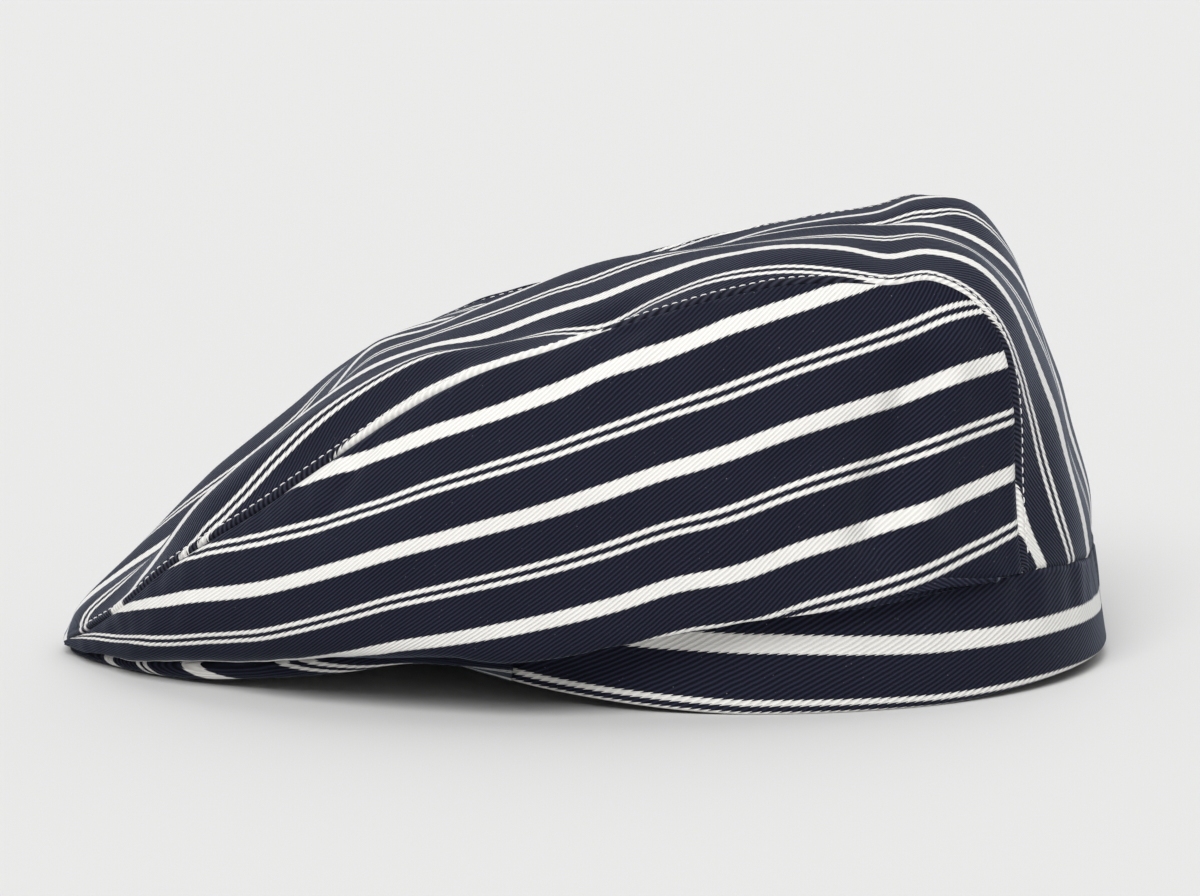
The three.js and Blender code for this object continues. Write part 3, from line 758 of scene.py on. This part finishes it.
# %% Side creases
CREASES_LEFT = table(
    "x0 down0 x1 down1 width depth",
    [
        (86, 26, 75, 68, 6.8, -4.4),
        (96, 20, 88, 64, 6.4, 2.4),
        (50, 51, 72, 40, 5.0, -1.3),
        (14, 3, -6, 15, 4.6, -0.7),
        (6, 4, -10, 12, 4.6, 0.45),
        (21, 4, 3, 20, 5.2, 0.5),
        (27, 5, 10, 25, 5.8, -0.55),
        (-56, 6, -66, 16, 3.2, -0.7),
        (-123, 9, -108, 17, 4.0, -0.9),
        (-36, 44, 8, 58, 9.0, -1.4),
        (40, 8, 24, 32, 7.0, 0.7),
    ],
)
CREASES_RIGHT = table(
    "x0 down0 x1 down1 width depth",
    [
        (70, 28, 58, 68, 8.0, -2.0),
        (82, 22, 72, 60, 6.0, 1.0),
        (-20, 4, -36, 18, 3.0, -1.0),
        (-12, 5, -26, 20, 3.0, 0.8),
        (20, 50, 48, 40, 6.0, -1.1),
        (-118, 9, -104, 18, 4.0, -0.8),
    ],
)

# %% The side panels' grid
SIDE_LINES = 460
SIDE_ROWS = 172

tau_line = np.linspace(0, LAST_SIDE_ROW, SIDE_LINES)
s_line = np.linspace(0, 1, SIDE_ROWS) ** 1.12
tau, s = np.meshgrid(tau_line, s_line, indexing="ij")
row = at(SIDE, tau)


def side_panel(name, creases, seed, right):
    """One side panel: the bare surface, the tuck, its creases and its own unevenness."""
    surface = lambda tau, s: side_surface(tau, s, right)
    bare = surface(tau, s)
    down = walked(bare, 1)
    along = walked(surface(tau_line[:, None], np.full((1, 1), 0.45)), 0) + 0 * tau
    across = row.start + row.ease * down + row.bend * (down / 50) ** 2
    out = outward(surface, tau, s, INSIDE_THE_HAT)
    rear_edge = surface(np.full_like(tau, LAST_SIDE_ROW), s)
    edge_distance = np.minimum(down, np.linalg.norm(bare - rear_edge, axis=-1))
    settled = ramp(tau, 0.0, 1.2)
    slow = 0.4 * soft_waves(along, down, 42.0, seed)
    fine = 0.1 * soft_waves(along, down, 13.0, seed + 1)
    calm = ramp(edge_distance, 2, 14) * settled
    folds = creased(creases, bare[..., 0], down) * ramp(edge_distance, 0.5, 4)
    height = tuck(edge_distance, along) * settled + (slow + fine) * calm + folds
    face = bare + out * height[..., None]
    ribs_along = along * (1 - 2 * right)
    obj = cloth_wall(name, face, out, CLOTH_THICKNESS, ribs_along, across, 0 * tau, mirror=not right)
    obj.data.materials.append(crown_cloth)
    return obj


side_left = side_panel("side_panel_left_cloth", CREASES_LEFT, 21, right=0)
side_right = side_panel("side_panel_right_cloth", CREASES_RIGHT, 27, right=1)

# %% [markdown]
# ## The head band
#
# The band is one strip folded double and pressed, so it is thicker than the panels and its lower
# edge is round. Its top tucks inside the crown's hem, which is how a sewn seam looks once the
# allowances are turned in. It is a closed ring of one section: down the outer face, round the
# fold, and up the inner face.

# %% The band's stations
RING_X = 42.0
RING_HALF_LENGTH = 98.0
RING_HALF_WIDTH = 78.0
BAND_THICKNESS = 2.6
RING_MEAN = (RING_HALF_LENGTH + RING_HALF_WIDTH) / 2
BAND = table(
    "bottom_z top_z out_at_bottom out_at_top pair_at wide_at",
    [
        (3.6, 25.6, 0, -4.2, -1.5, 12.0),
        (2.6, 28.6, 0, -2.4, 0.2, 14.6),
        (0, 30.2, 0, -1.0, 1.8, 17.0),
        (0, 30.8, 0, 0, 2.5, 19.4),
        (3.8, 33.4, 0, 0, 2.5, 18.0),
        (9.0, 38.4, 0, 0, 2.5, 17.5),
        (11.0, 40.6, 0, 0, 2.5, 17.5),
    ],
)


def band_row(angle):
    """The band's row at an angle from the back of the head: the table covers half a turn."""
    turn = np.abs((angle + np.pi) % (2 * np.pi) - np.pi)
    return at(BAND, turn / np.pi * (len(BAND["top_z"]) - 1))


def ring_point(angle, out, z):
    """A point at an angle from the back, standing out from the head's oval, at height z."""
    x = RING_X + (RING_HALF_LENGTH + out) * np.cos(angle)
    y = (RING_HALF_WIDTH + out) * np.sin(angle)
    return np.stack(np.broadcast_arrays(x, y, z), -1)


# %% Where the crown's hem meets it
back_hem = top_surface(np.full(81, float(LAST_CROWN_ROW)), np.linspace(-1, 1, 81))
side_hem = side_surface(np.linspace(11, LAST_SIDE_ROW, 60), np.ones(60))
hem = np.concatenate([side_hem * [1, -1, 1], back_hem, side_hem])
oval_x = (hem[:, 0] - RING_X) / RING_HALF_LENGTH
oval_y = hem[:, 1] / RING_HALF_WIDTH
hem_angle = np.arctan2(oval_y, oval_x)
hem_out = (np.hypot(oval_x, oval_y) - 1) * RING_MEAN
order = np.argsort(hem_angle)


def hem_at(angle):
    """Height of the band's visible top and how far it stands out there.

    It is the crown's hem at the back and sides, and the band's own top under the peak.
    """
    turn = np.abs((angle + np.pi) % (2 * np.pi) - np.pi)
    signed = np.where(np.sin(angle) < 0, -turn, turn)
    z = np.interp(signed, hem_angle[order], hem[order, 2])
    out = np.interp(signed, hem_angle[order], hem_out[order])
    front = ramp(np.degrees(turn), 100, 118)
    own = band_row(angle)
    return z * (1 - front) + own.top_z * front, out * (1 - front) + own.out_at_top * front


print("hem", hem[:, 2].min().round(1), "to", hem[:, 2].max().round(1), "mm high")

# %% The band's ring
BAND_LINES = 480
BAND_ROWS = 96
TUCK_UP = 4.0
TUCK_IN = 2.2
FOLD_SHARE = 0.12  # the share of the section's points that go round the folded edge

angle, q = np.meshgrid(
    np.linspace(0, 2 * np.pi, BAND_LINES, endpoint=False), np.linspace(-1, 1, BAND_ROWS), indexing="ij"
)
own = band_row(angle)
hem_z, hem_stand = hem_at(angle)
radius = BAND_THICKNESS / 2
bottom = np.maximum(own.bottom_z, 0)
round_turn = np.clip(q / FOLD_SHARE, -1, 1) * np.pi / 2
climb = np.clip((np.abs(q) - FOLD_SHARE) / (1 - FOLD_SHARE), 0, 1) ** 0.85
z = bottom + radius * (1 - np.cos(round_turn)) + climb * (hem_z + TUCK_UP - bottom - radius)
share = np.clip((z - bottom) / (hem_z - bottom), 0, 1)
inwards = radius * (1 + np.sin(round_turn))
tucked = ramp(z - hem_z, -0.5, 1.6) * TUCK_IN * ramp(-q, -0.1, 0.1)
walk = angle * RING_MEAN
ripple = 0.45 * soft_waves(walk, 0 * angle, 15.0, 31) * ramp(share, 0.25, 0.8)
ripple += 0.3 * soft_waves(walk, z, 60.0, 33)
stand = own.out_at_bottom * (1 - share) + (hem_stand - 0.1) * share + ripple * ramp(share, 0, 0.3)
band_points = ring_point(angle, stand - inwards - tucked, z)
print("band", band_points.shape, "from", band_points[..., 2].min().round(2), "mm")

# %% The band's stripes and mesh
CLOTH_EASE_AT_HEM = 0.8

band_walk = walked(band_points, 1)
edge_walk = band_walk[:, [BAND_ROWS // 2]]
above_edge = edge_walk - band_walk
part = (above_edge - own.pair_at) / (own.wide_at - own.pair_at)
below_wide = HALF_REPEAT / MM * (1 - part)
above_wide = (own.wide_at - above_edge) * CLOTH_EASE_AT_HEM
band_across = np.where(above_edge < own.wide_at, below_wide, above_wide)
band_cloth_place = np.stack([walk, band_across], -1).reshape(-1, 2)
ring = grid_quads(BAND_LINES, BAND_ROWS, closed=True)
first = np.arange(BAND_LINES) * BAND_ROWS
last = first + BAND_ROWS - 1
lid = np.stack([first, last, np.roll(last, -1), np.roll(first, -1)], -1)
band_faces = [ring[:, ::-1], lid[:, ::-1]]
head_band = mesh_object(
    "head_band_cloth", band_points.reshape(-1, 3), band_faces, band_cloth_place, 0 * angle
)
head_band.data.materials.append(band_cloth)

# %% [markdown]
# ## The peak
#
# The peak is a firm crescent covered in the same cloth. Only its rim shows, as a soft dark bead
# under the side panels, with the stripes crossing it.

# %% The peak's stations
PEAK = table(
    "rim_x rim_y bottom_z top_z stripe",
    [
        (-137.4, 0, 0.2, 2.1, 20),
        (-135.8, 7.0, 0, 2.0, 22),
        (-128.5, 17.8, 0, 2.5, 28),
        (-118.0, 29.4, 0, 3.7, 45),
        (-105.0, 39.8, 0.6, 5.2, 60),
        (-90.0, 49.0, 2.6, 7.2, 69.5),
        (-74.0, 57.0, 5.2, 9.8, 76.5),
        (-60.0, 62.8, 8.0, 12.2, 81),
        (-46.0, 67.3, 11.2, 13.6, 84),
        (-32.0, 68.6, 11.0, 13.4, 86),
        (-18.0, 65.6, 9.4, 12.0, 87),
    ],
)
LAST_PEAK_ROW = 10
PEAK_THICKNESS_AT_BAND = 3.6
PEAK_ARCH = 3.0
BAND_GAP = 0.3
HORN_ANGLE = np.radians(128)
RIM_ROUND = 0.035


def peak_surface(k, w, level):
    """The peak at place k along its rim, share w from rim to band, level 0 below and 1 above.

    It is a straight blend from the rim to the band's lower edge, lifted by a low arch.
    """
    rim = at(PEAK, np.abs(k))
    share = k / LAST_PEAK_ROW
    inner_angle = np.pi - share * (np.pi - HORN_ANGLE)
    own = band_row(inner_angle)
    inner = ring_point(inner_angle, own.out_at_bottom + BAND_GAP, np.maximum(own.bottom_z, 0))
    arch = PEAK_ARCH * np.sin(np.pi * w) * (1 - share ** 2)
    low = np.maximum(rim.bottom_z, 0) * (1 - w) + inner[..., 2] * w
    high = rim.top_z * (1 - w) + (inner[..., 2] + PEAK_THICKNESS_AT_BAND) * w
    x = rim.rim_x * (1 - w) + inner[..., 0] * w
    y = np.sign(k) * rim.rim_y * (1 - w) + inner[..., 1] * w
    return np.stack([x, y, low + (high - low) * level + arch], -1)


# %% The peak's cover
PEAK_LINES = 320
PEAK_ROWS = 60
BEAD_SHARE = 0.2  # the share of the section's points that go round the rim
STRIPE_SLANT = 7.0  # how far a stripe moves across the rim's bead, from its top to its bottom
BEAD_WRAP = 6.0

k, q = np.meshgrid(
    np.linspace(-LAST_PEAK_ROW, LAST_PEAK_ROW, PEAK_LINES), np.linspace(-1, 1, PEAK_ROWS), indexing="ij"
)
turn = np.clip(q / BEAD_SHARE, -1, 1) * np.pi / 2
inwards = np.clip((np.abs(q) - BEAD_SHARE) / (1 - BEAD_SHARE), 0, 1)
w = RIM_ROUND * (1 - np.cos(turn)) + (1 - RIM_ROUND) * inwards
level = 0.5 - 0.5 * np.sin(turn)
peak_points = peak_surface(k, w, level)
peak_across = at(PEAK, np.abs(k)).stripe * (1 - w) + w * np.abs(peak_points[..., 1])
peak_across += STRIPE_SLANT * (level - 1)
peak_along = peak_points[..., 0] * np.sign(k + 1e-9) + BEAD_WRAP * q
peak_place = np.stack([peak_along, peak_across], -1).reshape(-1, 2)
skin = grid_quads(PEAK_LINES, PEAK_ROWS)
first = np.arange(PEAK_LINES) * PEAK_ROWS
last = first + PEAK_ROWS - 1
back = np.stack([first[:-1], last[:-1], last[1:], first[1:]], -1)
fold = np.arange(PEAK_ROWS // 2 - 1)
horn = np.stack([fold, fold + 1, PEAK_ROWS - 2 - fold, PEAK_ROWS - 1 - fold], -1)
far_horn = horn[:, ::-1] + (PEAK_LINES - 1) * PEAK_ROWS
peak = mesh_object(
    "peak_cloth_cover", peak_points.reshape(-1, 3), [skin, back, horn, far_horn], peak_place, 0 * k
)
peak.data.materials.append(peak_cloth)
print("peak", peak_points.shape)

# %% [markdown]
# ## Topstitching
#
# A stitch is a short thread that dips into the cloth at both ends. Each is a small capsule, bent
# down at its ends, and one array makes them all.

# %% The thread
cream_thread = bpy.data.materials.new("cream_thread")
cream_thread.use_nodes = True
thread_shader = cream_thread.node_tree.nodes["Principled BSDF"]
thread_shader.inputs["Base Color"].default_value = (0.86, 0.85, 0.82, 1)
thread_shader.inputs["Roughness"].default_value = 0.65
thread_shader.inputs["Sheen Weight"].default_value = 0.2
STITCH_RINGS = 7
STITCH_AROUND = 6


def stitch_row(name, path, out, length, radius):
    """Capsules laid along a path every STITCH_PITCH, raised along out.

    At a, from -1 to 1 along a stitch, its radius is radius (1 - |a|^3)^0.5 and it dips by
    1.6 radius a^4.
    """
    distance = walked(path[:, None], 0)[:, 0]
    centres = np.arange(STITCH_PITCH, distance[-1] - STITCH_PITCH, STITCH_PITCH)
    pick = lambda values, where: np.stack([np.interp(where, distance, c) for c in values.T], -1)
    forward = unit(pick(path, centres + 0.3) - pick(path, centres - 0.3))
    up = unit(pick(out, centres))
    basis = np.stack([forward, unit(np.cross(up, forward)), up], 1)
    a = np.linspace(-1, 1, STITCH_RINGS)[:, None]
    turn = np.linspace(0, 2 * np.pi, STITCH_AROUND, endpoint=False)[None, :]
    thick = radius * np.sqrt(np.maximum(1 - np.abs(a) ** 3, 0.02))
    dip = -1.6 * radius * a ** 4
    shape = np.broadcast_arrays(a * length / 2, thick * np.cos(turn), thick * np.sin(turn) + dip)
    points = pick(path, centres)[:, None, None] + np.einsum("rac,ncx->nrax", np.stack(shape, -1), basis)
    wrapped = grid_quads(STITCH_RINGS, STITCH_AROUND + 1)
    sleeve = wrapped // (STITCH_AROUND + 1) * STITCH_AROUND + wrapped % (STITCH_AROUND + 1) % STITCH_AROUND
    start_cap = np.arange(STITCH_AROUND)[None, :]
    end_cap = start_cap[:, ::-1] + (STITCH_RINGS - 1) * STITCH_AROUND
    offset = STITCH_RINGS * STITCH_AROUND * np.arange(len(centres))[:, None, None]
    faces = [(part[None] + offset).reshape(-1, part.shape[1]) for part in (sleeve, start_cap, end_cap)]
    obj = mesh_object(name, points.reshape(-1, 3), faces)
    obj.data.materials.append(cream_thread)
    print(name, len(centres), "stitches")
    return obj


def stitch_path(side, rise):
    """The line on the top panel's face at the stitch line's distance from one ridge, raised."""
    u = np.linspace(0.9, LAST_CROWN_ROW - 0.1, 1200)
    edge, inside = top_surface(u, side + 0 * u), top_surface(u, side * 0.98 + 0 * u)
    speed = np.linalg.norm(edge - inside, axis=-1) / 0.02
    f = side * (1 - STITCH_LINE / speed)
    out = outward(top_surface, u, f, INSIDE_THE_HAT)
    along = np.interp(u, u_line, middle_walk[:, 0])
    return top_face(u, f, along, out) + out * rise, out


STITCH_LENGTH = 1.9
stitch_rows = [
    stitch_row("left_ridge_stitches", *stitch_path(-1, rise=0.2), STITCH_LENGTH, radius=0.17),
    stitch_row("right_ridge_stitches", *stitch_path(1, rise=0.0), STITCH_LENGTH, radius=0.15),
]

# %% [markdown]
# ## What each piece is
#
# Every new piece rides on the imported body. The panels, the band and the peak's cover are cloth,
# and each stands in for its plain solid, which is hidden. Each already carries its material.

pieces = {
    "top_panel": (top_panel, "crown_cloth"),
    "side_panel_left": (side_left, "crown_cloth"),
    "side_panel_right": (side_right, "crown_cloth"),
    "head_band": (head_band, "band_cloth"),
    "peak": (peak, "peak_cloth"),
}
for node, (obj, slot) in pieces.items():
    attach(obj, "root")
    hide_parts(node)
for obj in stitch_rows:
    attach(obj, "root")

# %% [markdown]
# ## Table and light
#
# A pale seamless table that curves up all round, so no edge shows from any side. A broad soft
# light in front lifts the side panel, another above and behind puts the sheen on the crown, and
# the world fills the shadows. Distant lights are used because they light the whole table alike.

# %% The table
TABLE_FLAT = 2.4
TABLE_CURVE = 0.9
TABLE_LINES = 96
TABLE_ROWS = 24
turn, climb = np.meshgrid(
    np.linspace(0, 2 * np.pi, TABLE_LINES, endpoint=False), np.linspace(0, 1, TABLE_ROWS), indexing="ij"
)
bend = np.clip((climb - 0.5) * 2, 0, 1) * np.radians(75)
reach = TABLE_FLAT * np.clip(climb * 2, 0.002, 1) + TABLE_CURVE * np.sin(bend)
height = TABLE_CURVE * (1 - np.cos(bend))
table_points = np.stack([reach * np.cos(turn), reach * np.sin(turn), height], -1)
middle = (np.arange(TABLE_LINES) * TABLE_ROWS)[None, ::-1]
table_faces = [grid_quads(TABLE_LINES, TABLE_ROWS, closed=True), middle]
pale_table = mesh_object("table", table_points.reshape(-1, 3) / MM, table_faces)
pale_paper = bpy.data.materials.new("pale_paper")
pale_paper.use_nodes = True
paper_shader = pale_paper.node_tree.nodes["Principled BSDF"]
paper_shader.inputs["Base Color"].default_value = (0.662, 0.662, 0.658, 1)
paper_shader.inputs["Roughness"].default_value = 0.95
paper_shader.inputs["Specular IOR Level"].default_value = 0.05
pale_table.data.materials.append(pale_paper)

# %% Lights and world


def distant_light(name, place, strength, spread):
    """A sun lamp far away in the direction of place, spread degrees wide."""
    data = bpy.data.lights.new(name, "SUN")
    data.energy = strength
    data.angle = np.radians(spread)
    obj = bpy.data.objects.new(name, data)
    bpy.context.scene.collection.objects.link(obj)
    aim(obj, place, (0, 0, 0))
    return obj


distant_light("front_light", (-0.35, -1.3, 1.6), 2.4, 38)
distant_light("back_light", (0.7, 1.0, 1.6), 1.0, 60)
world = bpy.data.worlds.new("studio")
world.use_nodes = True
world.node_tree.nodes["Background"].inputs[0].default_value = (1, 1, 1, 1)
world.node_tree.nodes["Background"].inputs[1].default_value = 0.40
bpy.context.scene.world = world
bpy.context.scene.view_settings.view_transform = "Standard"
